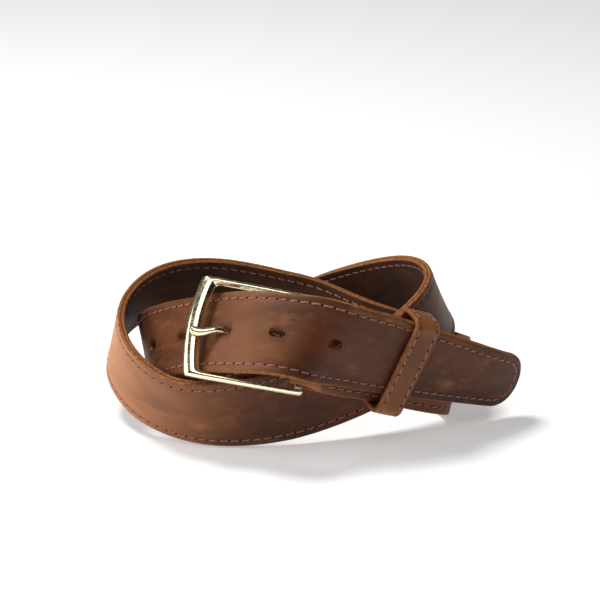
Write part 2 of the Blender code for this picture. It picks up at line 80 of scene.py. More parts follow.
# The strap's route, with the same poles as part.py: x, y, z, then the lean of the width.
# An optimiser computed them and they were rounded. They were not chosen by hand.
ROUTE = (
    (-1.0, -11.0, 56.0, -0.58, 1.34),         # heel bar
    (7.5, -10.0, 52.0, -0.18, 0.64),
    (36.5, -4.0, 42.0, 0.48, -0.06),
    (62.5, 8.0, 31.0, 0.30, -0.06),           # through the keeper
    (82.5, 26.0, 22.0, 0.14, 0.18),           # right bend, on the table
    (79.5, 54.5, 12.0, 0.62, 0.92),
    (42.5, 75.0, 21.0, 0.12, -0.26),          # back left, rising
    (14.5, 85.0, 30.0, 0.40, -0.04),
    (-2.5, 87.5, 34.5, 0.92, -0.34),
    (-29.5, 89.0, 42.0, 0.06, -0.26),         # over the inner turn
    (-64.5, 77.5, 48.0, 0.36, -0.68),
    (-80.0, 42.0, 37.0, 0.26, -0.16),         # left outer lobe
    (-73.0, 19.0, 28.0, 0.06, -0.34),
    (-62.0, 4.5, 22.0, 0.16, -0.50),          # front left, its rim under the buckle
    (-40.5, -9.5, 16.5, -0.16, -0.42),
    (-5.5, -6.5, 19.0, -0.28, -0.26),
    (19.0, 2.5, 23.5, 0.00, -0.10),           # back behind the buckle end
    (42.0, 12.0, 30.5, 0.28, 0.10),
    (61.5, 23.5, 39.5, -0.32, -0.16),         # up onto the right bend
    (76.5, 46.0, 49.0, -0.24, -0.14),
    (69.0, 78.0, 51.5, -0.70, -0.36),         # right lobe
    (38.0, 99.5, 33.5, -0.60, -0.08),
    (17.0, 106.0, 21.0, -0.84, 0.42),         # back left, low
    (-3.0, 102.0, 13.0, -0.56, 0.64),
    (-30.5, 86.0, 10.0, -0.42, 1.68),         # flat, under the rising run
    (-52.5, 68.5, 12.5, -0.34, 1.32),
    (-66.0, 46.5, 23.0, -0.34, 0.38),         # inner left turn
    (-56.0, 18.0, 42.0, 0.12, 0.88),
    (-32.0, -3.0, 54.5, 0.60, 0.60),          # behind the front bar
    (-7.5, -19.5, 61.5, -0.34, 1.20),
    (15.5, -21.0, 58.0, 0.30, 0.42),          # through the buckle, over the start
    (31.0, -13.0, 51.5, 0.82, 0.06),
    (64.5, 2.0, 37.5, 0.42, 0.04),            # keeper
    (90.5, 19.5, 24.5, 0.52, 0.02),
    (107.0, 33.0, 16.0, 0.06, -0.20),         # tip
    (126.5, 57.0, 6.5, 0.84, 0.80),
)
COIL_SHIFT = np.array((-14.18, -40.27, 1.26))


# ---- the strap's middle surface --------------------------------------------------------------
def spline_weights(t):
    """Weights of four neighbouring poles on a uniform cubic B-spline, and their slopes."""
    value = np.array(((1 - t) ** 3, 3 * t**3 - 6 * t**2 + 4, -3 * t**3 + 3 * t**2 + 3 * t + 1, t**3))
    slope = np.array((-((1 - t) ** 2), 3 * t**2 - 4 * t, -3 * t**2 + 2 * t + 1, t**2))
    return value / 6, slope / 2


class Strap:
    """The strap's middle surface, measured by length from the heel bar."""

    def __init__(self, poles, shift):
        self.poles = np.array(poles, float)
        self.poles[:, :3] += shift
        self.spans = len(poles) - 3
        self.params = np.linspace(0.0, self.spans, 3001)
        points = np.array([self.spline(u)[0][:3] for u in self.params])
        steps = np.linalg.norm(np.diff(points, axis=0), axis=1)
        self.arcs = np.concatenate(([0.0], np.cumsum(steps)))
        self.length = self.arcs[-1]

    def spline(self, u):
        first = min(int(u), self.spans - 1)
        value, slope = spline_weights(u - first)
        near = self.poles[first : first + 4]
        return value @ near, slope @ near

    def frame(self, s):
        """Centre, forward, up and outward directions at length s."""
        value, slope = self.spline(np.interp(s, self.arcs, self.params))
        forward = slope[:3] / np.linalg.norm(slope[:3])
        up = np.array((value[3], value[4], 1.0))
        up -= forward * (up @ forward)
        up /= np.linalg.norm(up)
        beyond = s - min(max(s, 0.0), self.length)
        return value[:3] + forward * beyond, forward, up, np.cross(forward, up)

    def point(self, s, across, out):
        centre, _, up, outward = self.frame(s)
        return centre + up * across + outward * out

    def folded_point(self, s, across, out):
        """The same, but square to the heel bar near it."""
        centre, forward, up, outward = self.frame(0.0)
        square = centre + forward * s + up * across + outward * out
        share = min(max((s - HEEL_REACH) / (HEEL_FREE - HEEL_REACH), 0.0), 1.0)
        return square * (1 - share) + self.point(s, across, out) * share

    def half_width(self, s):
        left = self.length - s
        half = STRAP_WIDTH / 2
        if left < TAPER_LENGTH:
            share = max(left - TIP_CORNER, 0.0) / (TAPER_LENGTH - TIP_CORNER)
            half = TIP_HALF_WIDTH + (half - TIP_HALF_WIDTH) * share
        if left < TIP_CORNER:
            half -= TIP_CORNER - math.sqrt(TIP_CORNER**2 - (TIP_CORNER - max(left, 0.0)) ** 2)
        return half


STRAP = Strap(ROUTE, COIL_SHIFT)
PRONG_HOLE = STRAP.length - PRONG_HOLE_TO_TIP


# ---- materials ---------------------------------------------------------------------------------
class Nodes:
    """A short way to write a node tree."""

    def __init__(self, name):
        self.material = bpy.data.materials.new(name)
        self.material.use_nodes = True
        self.tree = self.material.node_tree
        self.shader = self.tree.nodes["Principled BSDF"]

    def add(self, kind, inputs=(), **settings):
        node = self.tree.nodes.new(kind)
        for key, value in settings.items():
            setattr(node, key, value)
        for key, value in dict(inputs).items():
            self.set(node, key, value)
        return node

    def set(self, node, key, value):
        if isinstance(value, bpy.types.NodeSocket):
            self.tree.links.new(value, node.inputs[key])
        else:
            node.inputs[key].default_value = value

    def noise(self, vector, scale, detail=4.0, roughness=0.55, distortion=0.0):
        inputs = {"Vector": vector, "Scale": scale, "Detail": detail, "Roughness": roughness}
        inputs["Distortion"] = distortion
        return self.add("ShaderNodeTexNoise", inputs).outputs["Fac"]

    def span(self, value, low, high, to_low=0.0, to_high=1.0):
        inputs = {0: value, 1: low, 2: high, 3: to_low, 4: to_high}
        return self.add("ShaderNodeMapRange", inputs, interpolation_type="SMOOTHSTEP").outputs[0]

    def math(self, operation, a, b):
        return self.add("ShaderNodeMath", {0: a, 1: b}, operation=operation).outputs[0]

    def mix(self, share, a, b, blend="MIX"):
        node = self.add("ShaderNodeMix", data_type="RGBA", blend_type=blend)
        self.set(node, 0, share)
        for key, value in ((6, a), (7, b)):
            self.set(node, key, (*value, 1.0) if isinstance(value, tuple) else value)
        return node.outputs[2]

    def stretched(self, scale):
        """The piece's own texture coordinates, stretched by scale."""
        source = self.add("ShaderNodeTexCoord").outputs["UV"]
        return self.add("ShaderNodeMapping", {"Vector": source, "Scale": scale}).outputs[0]

    def attribute(self, name):
        return self.add("ShaderNodeAttribute", attribute_name=name).outputs["Fac"]

    def bump(self, height, strength, distance, normal=None):
        inputs = {"Height": height, "Strength": strength, "Distance": distance}
        if normal:
            inputs["Normal"] = normal
        return self.add("ShaderNodeBump", inputs).outputs[0]

    def finish(self, **values):
        for key, value in values.items():
            name = key.replace("_", " ").replace("Coat Rough", "Coat Roughness")
            if isinstance(value, tuple):
                value = (*value, 1.0)
            self.set(self.shader, name, value)
        return self.material


def leather(name, deep, body, worn_and_lit, roughness, coat):
    """Waxed full-grain leather: cloudy colour, paler where it is bent and where painted light and a painted
    sheen fall, fine pores.
    """
    n = Nodes(name)
    even = n.stretched((1.0, 1.0, 1.0))
    along = n.stretched((0.45, 1.0, 1.0))
    clouds = n.noise(along, 42.0, 5.0, 0.6, 0.6)
    patches = n.noise(along, 130.0, 4.0, 0.6)
    specks = n.noise(even, 900.0, 2.0)
    color = n.mix(n.span(clouds, 0.3, 0.72), deep, body)
    color = n.mix(n.span(patches, 0.5, 0.8, 0.0, 0.35), color, worn_and_lit)
    color = n.mix(n.span(specks, 0.52, 0.7, 0.0, 0.3), color, deep)
    # The pale mark: partly wax pulled up at bends, partly painted light and painted sheen.
    pull_and_light = n.math("MULTIPLY", n.attribute("pull_and_light"), n.span(clouds, 0.25, 0.6, 0.65, 1.0))
    color = n.mix(pull_and_light, color, worn_and_lit)
    color = n.mix(n.span(n.attribute("rim"), 0.0, 1.0, 0.0, 0.35), color, deep)
    grain = n.add("ShaderNodeTexVoronoi", {"Vector": even, "Scale": 1100.0}).outputs["Distance"]
    folds = n.noise(n.stretched((1.0, 0.35, 1.0)), 320.0, 3.0)
    normal = n.bump(grain, 0.22, 0.0002)
    normal = n.bump(folds, 0.22, 0.0004, normal)
    rough = n.span(n.math("ADD", patches, specks), 0.7, 1.3, roughness - 0.07, roughness + 0.09)
    return n.finish(
        Base_Color=color,
        Roughness=rough,
        Normal=normal,
        Specular_IOR_Level=0.22,
        Coat_Weight=coat,
        Coat_Rough=0.42,
        Sheen_Weight=0.03,
        Sheen_Roughness=0.45,
        Sheen_Tint=(0.9, 0.6, 0.5),
    )


def raw_edge(name, light, dark):
    """The cut edge: undyed fibres, scuffed."""
    n = Nodes(name)
    fibres = n.noise(n.stretched((1.0, 3.0, 1.0)), 520.0, 5.0, 0.7)
    blotch = n.noise(n.stretched((1.0, 1.0, 1.0)), 150.0, 3.0)
    color = n.mix(n.span(fibres, 0.35, 0.68), dark, light)
    color = n.mix(n.span(blotch, 0.55, 0.75, 0.0, 0.5), color, dark)
    normal = n.bump(fibres, 0.7, 0.0004)
    return n.finish(Base_Color=color, Roughness=0.72, Normal=normal, Specular_IOR_Level=0.25)


def waxed_thread(name, light, dark):
    n = Nodes(name)
    twist = n.add(
        "ShaderNodeTexWave",
        {"Vector": n.stretched((1.0, 1.0, 1.0)), "Scale": 420.0, "Distortion": 1.5, "Detail": 2.0},
        bands_direction="DIAGONAL",
    ).outputs["Fac"]
    color = n.mix(twist, dark, light)
    normal = n.bump(twist, 0.5, 0.0002)
    return n.finish(Base_Color=color, Roughness=0.55, Normal=normal, Sheen_Weight=0.3)


def polished_metal(name, color, dark, roughness):
    """Cast and polished: faint waves, hairline scratches and a few duller spots."""
    n = Nodes(name)
    place = n.add("ShaderNodeTexCoord").outputs["Object"]
    waves = n.noise(place, 160.0, 3.0)
    drawn = n.add("ShaderNodeMapping", {"Vector": place, "Scale": (0.2, 2.0, 1.0)}).outputs[0]
    lines = n.noise(drawn, 1500.0, 2.0)
    tarnish = n.noise(place, 380.0, 4.0, 0.6)
    tone = n.mix(n.span(tarnish, 0.55, 0.8, 0.0, 0.35), color, dark)
    rough = n.span(n.math("ADD", lines, tarnish), 0.8, 1.3, roughness, roughness + 0.14)
    normal = n.bump(lines, 0.03, 0.0001, n.bump(waves, 0.12, 0.0006))
    return n.finish(Base_Color=tone, Metallic=1.0, Roughness=rough, Normal=normal)


def plain(name, color, roughness):
    n = Nodes(name)
    spots = n.noise(n.add("ShaderNodeTexCoord").outputs["Object"], 8.0, 2.0)
    tone = n.mix(spots, color, tuple(c * 0.985 for c in color))
    return n.finish(Base_Color=tone, Roughness=roughness, Specular_IOR_Level=0.2)


# The face's pale colour serves real worn patches and also the painted light and painted sheen of the pale
# mark.
FACE_DEEP, FACE_BODY, FACE_WORN_AND_LIT = (0.040, 0.0105, 0.0038), (0.112, 0.030, 0.0100), (0.52, 0.205, 0.072)
LINING_DEEP, LINING_BODY, LINING_WORN = (0.030, 0.009, 0.0035), (0.085, 0.027, 0.010), (0.2, 0.08, 0.03)
LOOKS = {
    "face": leather("face_leather", FACE_DEEP, FACE_BODY, FACE_WORN_AND_LIT, 0.5, 0.04),
    "lining": leather("lining_leather", LINING_DEEP, LINING_BODY, LINING_WORN, 0.7, 0.0),
    "edge": raw_edge("raw_edge", (0.43, 0.165, 0.045), (0.14, 0.045, 0.014)),
    "thread": waxed_thread("thread", (0.42, 0.155, 0.085), (0.2, 0.06, 0.032)),
    # Near-black: painted shade inside the needle holes.
    "needle": plain("needle_hole_shade", (0.006, 0.003, 0.002), 0.9),
    "brass": polished_metal("brass", (0.96, 0.86, 0.60), (0.76, 0.64, 0.36), 0.15),
    "steel": polished_metal("steel", (0.62, 0.60, 0.56), (0.35, 0.33, 0.30), 0.25),
}


# ---- mesh helpers --------------------------------------------------------------------------------
def placed(origin, x_axis, y_axis, z_axis):
    """World matrix of a frame given in millimetres."""
    turn = Matrix((x_axis, y_axis, z_axis)).transposed().to_4x4()
    return Matrix.Translation(Vector(origin) * MM) @ turn


def shade(mesh):
    """Smooth shading that keeps the real edges crisp."""
    mesh.shade_smooth()
    mesh.set_sharp_from_angle(angle=EDGE_ANGLE)


def link(name, mesh, looks, body, replaced=()):
    piece = bpy.data.objects.new(name, mesh)
    bpy.context.scene.collection.objects.link(piece)
    for look in looks:
        mesh.materials.append(LOOKS[look])
    shade(mesh)
    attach(piece, body)
    if replaced:
        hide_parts(*replaced)
    return piece


def grid_mesh(name, points, uv=None, material=None, marks=None):
    """A capped skin over points[station][ring], with texture coordinates, materials and marks."""
    points = np.asarray(points, float)
    count, ring = points.shape[:2]
    faces, face_looks = [], []
    for k in range(count - 1):
        for j in range(ring):
            a, b = k * ring + j, k * ring + (j + 1) % ring
            faces.append((a, b, b + ring, a + ring))
            face_looks.append(material[j] if material else 0)
    faces += [tuple(range(ring))[::-1], tuple(range((count - 1) * ring, count * ring))]
    face_looks += [max(material) if material else 0] * 2
    mesh = bpy.data.meshes.new(name)
    mesh.from_pydata([Vector(p) * MM for p in points.reshape(-1, 3)], [], faces)
    mesh.polygons.foreach_set("material_index", face_looks)
    layer = mesh.uv_layers.new(name="surface")
    flat = (np.asarray(uv, float).reshape(-1, 2) if uv is not None else points.reshape(-1, 3)[:, :2]) * MM
    corners = np.zeros(len(mesh.loops), int)
    mesh.loops.foreach_get("vertex_index", corners)
    layer.data.foreach_set("uv", flat[corners].ravel())
    for mark, values in (marks or {}).items():
        made = mesh.attributes.new(mark, "FLOAT", "POINT")
        made.data.foreach_set("value", np.asarray(values, float).ravel())
    return mesh


def face_outwards(mesh):
    """Turns the faces so that the closed skin holds a positive volume."""
    mesh.calc_loop_triangles()
    volume = 0.0
    for triangle in mesh.loop_triangles:
        a, b, c = (mesh.vertices[i].co for i in triangle.vertices)
        volume += a.dot(b.cross(c))
    if volume < 0:
        mesh.flip_normals()
    return mesh


def smooth_path(points, per_span):
    """Points on a Catmull-Rom curve through the given points."""
    points = np.asarray(points, float)
    padded = np.vstack((2 * points[0] - points[1], points, 2 * points[-1] - points[-2]))
    out = []
    for k in range(len(points) - 1):
        a, b, c, d = padded[k : k + 4]
        for t in np.arange(per_span) / per_span:
            square = 2 * a - 5 * b + 4 * c - d
            cube = 3 * b - a - 3 * c + d
            out.append(0.5 * (2 * b + (c - a) * t + square * t**2 + cube * t**3))
    out.append(points[-1])
    return np.array(out)


# ---- strap -----------------------------------------------------------------------------------------
# Half of a layer's section, from the cut edge inwards: (distance from the edge, height).
LAYER_SECTION = (
    (0.40, GLUE_HALF),
    (0.10, 0.22),
    (0.0, 0.5),
    (0.03, 1.05),
    (0.16, 1.45),
    (0.42, 1.72),
    (0.85, 1.85),
    (1.6, 1.90),
    (2.5, 1.88),
    (3.0, 1.77),
    (3.5, 1.66),
    (4.0, 1.77),
    (4.5, 1.88),
    (6.5, 1.91),
    (10.0, 1.92),
    (14.0, 1.92),
)
EDGE_FACES = 5             # of the section's first faces, how many show raw leather
# Where the face leather is painted paler: partly wax pulled up at bends, partly painted light where the
# strap faces the lamp and a painted sheen on the tip run: (length, share).
PULLED_UP_AND_LIT = (
    (0, 0.6),
    (22, 0.1),
    (85, 0.2),
    (105, 0.45),
    (125, 0.1),
    (255, 0.1),
    (288, 0.8),
    (312, 1.0),
    (332, 0.75),
    (352, 0.4),
    (385, 0.12),
    (420, 0.0),
    (490, 0.15),
    (515, 0.4),
    (540, 0.1),
    (600, 0.15),
    (700, 0.3),
    (745, 0.12),
    (770, 0.12),
    (798, 0.25),
    (826, 0.04),
    (960, 0.0),
)


def waver(s, seed):
    """A small smooth irregularity along the strap, in millimetres."""
    slow = 0.035 * math.sin(s * 0.83 + seed) + 0.03 * math.sin(s * 2.1 + 2 * seed)
    return slow + 0.03 * math.sin(s * 4.7 + seed * 3)


def layer_ring(half):
    """The layer's outline at one station: (across, height)."""
    reach = [(min(e, half * e / (e + 3.0)), h) for e, h in LAYER_SECTION]
    bottom = [(-half + e, h) for e, h in reach]
    top = [(half - e, h) for e, h in reversed(reach)]
    middle = [(0.0, reach[-1][1])]
    back = [(half * share, GLUE_HALF) for share in (0.6, 0.0, -0.6)]
    return bottom + middle + top + back


def look_of_ring():
    """Material index of each face round the ring: 0 leather, 1 raw edge."""
    n = len(LAYER_SECTION)
    looks = [0] * (2 * n + 4)
    for k in range(EDGE_FACES):
        looks[k] = 1
        looks[2 * n - 1 - k] = 1
    for k in range(2 * n, 2 * n + 4):
        looks[k] = 1
    return looks


def station_lengths(start, end):
    close = end - np.array((TIP_CORNER, 10.5, 9.0, 7.5, 6.0, 4.7, 3.5, 2.5, 1.7, 1.0, 0.5, 0.15, 0.0))
    count = math.ceil((close[0] - start) / STATION_STEP)
    return np.concatenate((np.linspace(start, close[0], count, endpoint=False), close))


def pull_and_light_at(s):
    """How pale the face is painted at length s, from pulled-up wax plus painted light and painted sheen: 0
    none, 1 palest.
    """
    lengths, shares = zip(*PULLED_UP_AND_LIT)
    return np.interp(s, lengths, shares)


def rim_of(across, half):
    return max(0.0, 1.0 - abs(half - abs(across) - STITCH_INSET) / 1.2)


def strap_layer(name, side, looks, replaced, fold=()):
    """The face leather (side 1) or the lining (side -1), with its raw edges."""
    points, uv, pull_and_light_marks, rims = [], [], [], []
    for ring, length in fold:
        points.append(ring)
        uv.append([(length, a) for a, _ in layer_ring(STRAP_WIDTH / 2)])
        pull_and_light_marks.append([0.9] * len(ring))
        rims.append([0.0] * len(ring))
    for s in station_lengths(LINING_START, STRAP.length):
        half = STRAP.half_width(s)
        centre, _, up, outward = STRAP.frame(s)
        # Paleness from pulled-up wax plus painted light and painted sheen, on the face only.
        pull_and_light = pull_and_light_at(s) if side > 0 else 0.0
        row, place, marks = [], [], []
        for k, (across, height) in enumerate(layer_ring(half)):
            rough = waver(s, k * 1.7 + side) if half - abs(across) < 0.2 else 0.0
            shifted = across + math.copysign(rough, across)
            row.append(centre + up * shifted + outward * (side * height))
            place.append((s, across + side * height + (100.0 if side < 0 else 0.0)))
            marks.append(rim_of(across, half))
        points.append(row)
        uv.append(place)
        pull_and_light_marks.append([pull_and_light] * len(row))
        rims.append(marks)
    marks = {"pull_and_light": pull_and_light_marks, "rim": rims}
    mesh = face_outwards(grid_mesh(name, points, uv=uv, material=look_of_ring(), marks=marks))
    return link(name, mesh, looks, "strap", (replaced,))


def fold_rings():
    """The face leather's end, turned round the heel bar and laid against the lining."""
    inside, thickness = FOLD_INSIDE - 0.1, 1.35
    path = [(FLAP_END - 4.0 * k, FLAP_FRONT - 0.1, FLAP_FRONT - 1.15) for k in range(8)]
    rings = []
    for s, near, far in path:
        rings.append(((s, near), (s, far)))
    for degrees in range(285, 80, -12):
        turn = math.radians(degrees)
        reach, rise = math.cos(turn), math.sin(turn)
        a = (inside * reach, inside * rise - HEEL_BAR_BACK)
        b = ((inside + thickness) * reach, (inside + thickness) * rise - HEEL_BAR_BACK)
        rings.append((a, b))
    near, far = np.array(rings[-1][0]), np.array(rings[-1][1])
    for share in (0.2, 0.4, 0.6, 0.8):
        ease = share * share * (3 - 2 * share)
        s = LINING_START * share
        inner = near[1] * (1 - ease) + GLUE_HALF * ease
        outer = far[1] * (1 - ease) + FACE_HALF * ease
        rings.append(((s, inner), (s, outer)))
    out, length = [], -len(rings) * 2.0
    for (s_in, n_in), (s_out, n_out) in rings:
        ring = []
        for across, height in layer_ring(STRAP_WIDTH / 2):
            share = (height - GLUE_HALF) / (FACE_HALF - GLUE_HALF)
            s = s_in + (s_out - s_in) * share
            ring.append(STRAP.folded_point(s, across, n_in + (n_out - n_in) * share))
        length += 2.0
        out.append((ring, length))
    return out


def stadium(name, s):
    """An oblong punch through the strap at length s."""
    centre, forward, up, outward = STRAP.frame(s)
    half, radius = (HOLE_LENGTH - HOLE_WIDTH) / 2, HOLE_WIDTH / 2
    ring = []
    for k in range(32):
        turn = 2 * math.pi * (k + 0.5) / 32
        ring.append((math.copysign(half, math.cos(turn)) + radius * math.cos(turn), radius * math.sin(turn)))
    levels = []
    for z in (-PUNCH_REACH, PUNCH_REACH):
        levels.append([centre + forward * x + up * y + outward * z for x, y in ring])
    mesh = face_outwards(grid_mesh(name, levels))
    punch = bpy.data.objects.new(name, mesh)
    bpy.context.scene.collection.objects.link(punch)
    mesh.materials.append(LOOKS["edge"])
    return punch


def slot_box(name):
    """The cutter of the slot for the prong, through the turned end."""
    centre, forward, up, outward = STRAP.frame(0.0)
    ring = [(-7.0, -8.0), (5.5, -8.0), (5.5, 4.0), (-7.0, 4.0)]
    sides = (SLOT_CENTRE - SLOT_HALF_WIDTH, SLOT_CENTRE + SLOT_HALF_WIDTH)
    levels = [[(centre + forward * x + up * y + outward * z) for x, z in ring] for y in sides]
    mesh = face_outwards(grid_mesh(name, levels))
    box = bpy.data.objects.new(name, mesh)
    bpy.context.scene.collection.objects.link(box)
    mesh.materials.append(LOOKS["edge"])
    return box


def cut_all(piece, cutters):
    """Cuts the piece for good. The cut walls take the cutter's material."""
    for cutter in cutters:
        boolean = piece.modifiers.new(cutter.name, "BOOLEAN")
        boolean.object = cutter
        boolean.operation = "DIFFERENCE"
        boolean.solver = "EXACT"
        boolean.material_mode = "TRANSFER"
    evaluated = piece.evaluated_get(bpy.context.evaluated_depsgraph_get())
    piece.data = bpy.data.meshes.new_from_object(evaluated)
    piece.modifiers.clear()
    shade(piece.data)


def make_strap():
    face = strap_layer("belt_face", 1, ("face", "edge"), "strap_outer", fold_rings())
    lining = strap_layer("belt_lining", -1, ("lining", "edge"), "strap_lining")
    punches = [stadium(f"punch_{k + 2}", PRONG_HOLE + k * HOLE_PITCH) for k in HOLE_STEPS]
    slot = slot_box("slot")
    cut_all(face, punches + [slot])
    cut_all(lining, punches)
    for cutter in punches + [slot]:
        bpy.data.objects.remove(cutter, do_unlink=True)


# ---- stitches ----------------------------------------------------------------------------------------
# One stitch's rings: (share of its length, share of its radius, rise in radii).
STITCH_RINGS = (
    (-0.5, 0.30, -0.42),
    (-0.46, 0.62, -0.2),
    (-0.36, 0.95, 0.04),
    (-0.15, 1.0, 0.12),
    (0.15, 1.0, 0.12),
    (0.36, 0.95, 0.04),
    (0.46, 0.62, -0.2),
    (0.5, 0.30, -0.42),
)
STITCH_SIDES = 7
NEEDLE_SIDES = 8


def stitch_points(start, end, out, slant):
    """One stitch: a short thread that sinks into the leather at both ends."""
    along = end - start
    length = np.linalg.norm(along)
    along = along / length
    side = np.cross(out, along)
    rings = []
    for share, wide, rise in STITCH_RINGS:
        centre = (start + end) / 2 + along * (share * length)
        centre = centre + side * (slant * share) + out * (rise * THREAD_RADIUS)
        ring = []
        for k in range(STITCH_SIDES):
            turn = 2 * math.pi * k / STITCH_SIDES
            ring.append(centre + (side * math.cos(turn) + out * math.sin(turn)) * THREAD_RADIUS * wide)
        rings.append(ring)
    return rings


def thread_row(spots, outs, slant):
    """Stitches between consecutive spots, and the needle holes where they start."""
    rings, holes = [], []
    for a, b, out in zip(spots[:-1], spots[1:], outs):
        trim = (b - a) * (1 - STITCH_LENGTH / STITCH_PITCH) / 2
        rings.append(stitch_points(a + trim, b - trim, out, slant))
        holes.append((a, out, (b - a) / np.linalg.norm(b - a)))
    return rings, holes


def stitch_mesh(name, stitches):
    points, faces, uv = [], [], []
    wrap = STITCH_SIDES
    for n, rings in enumerate(stitches):
        base = len(points)
        for k, ring in enumerate(rings):
            points += ring
            uv += [(n * STITCH_PITCH + k * 0.6, j * 0.4) for j in range(wrap)]
        for k in range(len(rings) - 1):
            for j in range(wrap):
                a, b = base + k * wrap + j, base + k * wrap + (j + 1) % wrap
                faces.append((a, b, b + wrap, a + wrap))
        faces.append(tuple(base + j for j in range(wrap))[::-1])
        faces.append(tuple(base + (len(rings) - 1) * wrap + j for j in range(wrap)))
    mesh = bpy.data.meshes.new(name)
    mesh.from_pydata([Vector(p) * MM for p in points], [], faces)
    layer = mesh.uv_layers.new(name="surface")
    corners = np.zeros(len(mesh.loops), int)
    mesh.loops.foreach_get("vertex_index", corners)
    layer.data.foreach_set("uv", (np.array(uv) * MM)[corners].ravel())
    return face_outwards(mesh)


def needle_mesh(name, holes):
    """Painted shade in the needle holes: small shallow near-black cups at the ends of the stitches."""
    points, faces = [], []
    for spot, out, along in holes:
        side = np.cross(out, along)
        base = len(points)
        for k in range(NEEDLE_SIDES):
            turn = 2 * math.pi * k / NEEDLE_SIDES
            reach = along * (math.cos(turn) * 0.5) + side * (math.sin(turn) * NEEDLE_HOLE_RADIUS)
            points.append(spot + reach + out * 0.10)
        points.append(spot + out * 0.02)
        points.append(spot - out * 0.5)
        for k in range(NEEDLE_SIDES):
            after = base + (k + 1) % NEEDLE_SIDES
            faces.append((base + k, after, base + NEEDLE_SIDES))
            faces.append((after, base + k, base + NEEDLE_SIDES + 1))
    mesh = bpy.data.meshes.new(name)
    mesh.from_pydata([Vector(p) * MM for p in points], [], faces)
    return face_outwards(mesh)


def edge_row_spots(start, side):
    """Needle positions along the top edge, round the tip and back along the bottom edge."""
    height = side * (FACE_HALF - 0.2)
    middle = STRAP.length - TIP_CORNER
    reach, flat = TIP_CORNER - STITCH_INSET, TIP_HALF_WIDTH - TIP_CORNER
    line = [(s, STRAP.half_width(s) - STITCH_INSET) for s in np.arange(start, middle, 1.0)]
    turns = np.radians(np.arange(4, 91, 6))
    line += [(middle + reach * math.sin(a), flat + reach * math.cos(a)) for a in turns]
    line += [(s, -across) for s, across in reversed(line)]
    line = np.array(line)
    track = np.concatenate(([0.0], np.cumsum(np.linalg.norm(np.diff(line, axis=0), axis=1))))
    count = round(track[-1] / STITCH_PITCH)
    marks = np.linspace(0, track[-1], count + 1)
    spots, outs = [], []
    for s, across in zip(np.interp(marks, track, line[:, 0]), np.interp(marks, track, line[:, 1])):
        spots.append(STRAP.point(s, across, height))
        outs.append(STRAP.frame(s)[3] * side)
    return np.array(spots), np.array(outs)


def make_thread(name, spots, outs, slant, body, replaced):
    stitches, holes = thread_row(spots, outs, slant)
    mesh = stitch_mesh(name, stitches)
    link(name, mesh, ("thread",), body, (replaced,))
    # The needle holes' painted shade: near-black cups.
    mouths = f"{name}_hole_shade_cups"
    link(mouths, needle_mesh(mouths, holes), ("needle",), body)


def make_strap_threads():
    spots, outs = edge_row_spots(14.0, 1)
    make_thread("edge_stitching_face", spots, outs, 0.35, "strap", "edge_thread_face")
    spots, outs = edge_row_spots(FLAP_END + 2.0, -1)
    make_thread("edge_stitching_back", spots, outs, -0.35, "strap", "edge_thread_back")
    for name, s in FOLD_SEAMS.items():
        count = round(2 * FOLD_SEAM_HALF / STITCH_PITCH)
        reach = np.linspace(-FOLD_SEAM_HALF, FOLD_SEAM_HALF, count + 1)
        spots = np.array([STRAP.point(s, across, FLAP_FRONT - 1.0) for across in reach])
        outs = np.array([-STRAP.frame(s)[3]] * len(spots))
        make_thread(f"{name}_stitching", spots, outs, 0.3, "strap", name)


# ---- buckle --------------------------------------------------------------------------------------------
def buckle_axes():
    """A point on the heel bar's axis, then directions: to the front bar, down, to the viewer."""
    _, _, up, _ = STRAP.frame(0.0)
    heel = STRAP.point(0.0, 0.0, -HEEL_BAR_BACK)
    over = STRAP.point(PRONG_HOLE - FRONT_BAR_BEFORE_HOLE, 0.0, FRONT_BAR_CLEARANCE)
    ahead = over - heel
    ahead -= up * (ahead @ up)
    ahead /= np.linalg.norm(ahead)
    return heel, ahead, -up, np.cross(up, ahead)


def front_bar_x(y, side):
    """The front bar's outline at height y: side 1 is its outer edge, -1 its inner."""
    return BUCKLE_LENGTH + side * FRONT_BAR_WIDTH / 2 + FRONT_BAR_BOW * (0.35 - (2 * y / BUCKLE_HEIGHT) ** 2)


def frame_outline():
    """Outer and inner outline points of the buckle's upper half, heel end first."""
    tall, clear = BUCKLE_HEIGHT / 2, BUCKLE_OPENING / 2
    pairs = [
        ((-ARM_END, clear + 1.5), (-ARM_END, clear + 0.6)),
        ((-ARM_END + 0.3, clear + 2.0), (-ARM_END + 0.2, clear + 0.2)),
        ((-ARM_END + 1.2, clear + 2.4), (-ARM_END + 0.9, clear)),
        ((2.5, clear + 2.6), (2.5, clear)),
        ((12.0, clear + 2.75), (12.0, clear)),
        ((24.0, clear + 2.9), (23.0, clear)),
        ((36.0, tall - 0.05), (35.0, clear)),
        ((41.0, tall), (40.0, clear)),
        ((44.4, tall - 0.02), (42.2, clear - 0.1)),
        ((front_bar_x(tall, 1) - 0.9, tall - 0.3), (43.2, clear - 0.7)),
        ((front_bar_x(tall - 0.9, 1) - 0.1, tall - 1.2), (43.7, clear - 2.0)),
        ((front_bar_x(20.0, 1), 20.0), (front_bar_x(15.5, -1), 15.5)),
    ]
    heights = ((17.0, 12.5), (13.0, 10.0), (8.5, 7.0), (4.0, 3.5), (0.0, 0.0))
    return pairs + [((front_bar_x(a, 1), a), (front_bar_x(b, -1), b)) for a, b in heights]


# The section of the cast frame, from its outer wall to its inner one: (share, height).
FRAME_SECTION = (
    (0.03, -1.95),
    (0.0, -1.8),
    (0.0, 0.2),
    (0.015, 0.55),
    (0.06, 0.95),
    (0.13, 1.32),
    (0.21, 1.62),
    (0.29, 1.84),
    (0.38, 1.97),
    (0.50, 2.04),
    (0.64, 2.02),
    (0.70, 1.95),
    (0.74, 1.8),
    (0.93, 0.75),
    (0.97, 0.6),
    (1.0, 0.35),
    (1.0, -1.8),
    (0.97, -1.95),
    (0.8, -2.0),
    (0.2, -2.0),
)


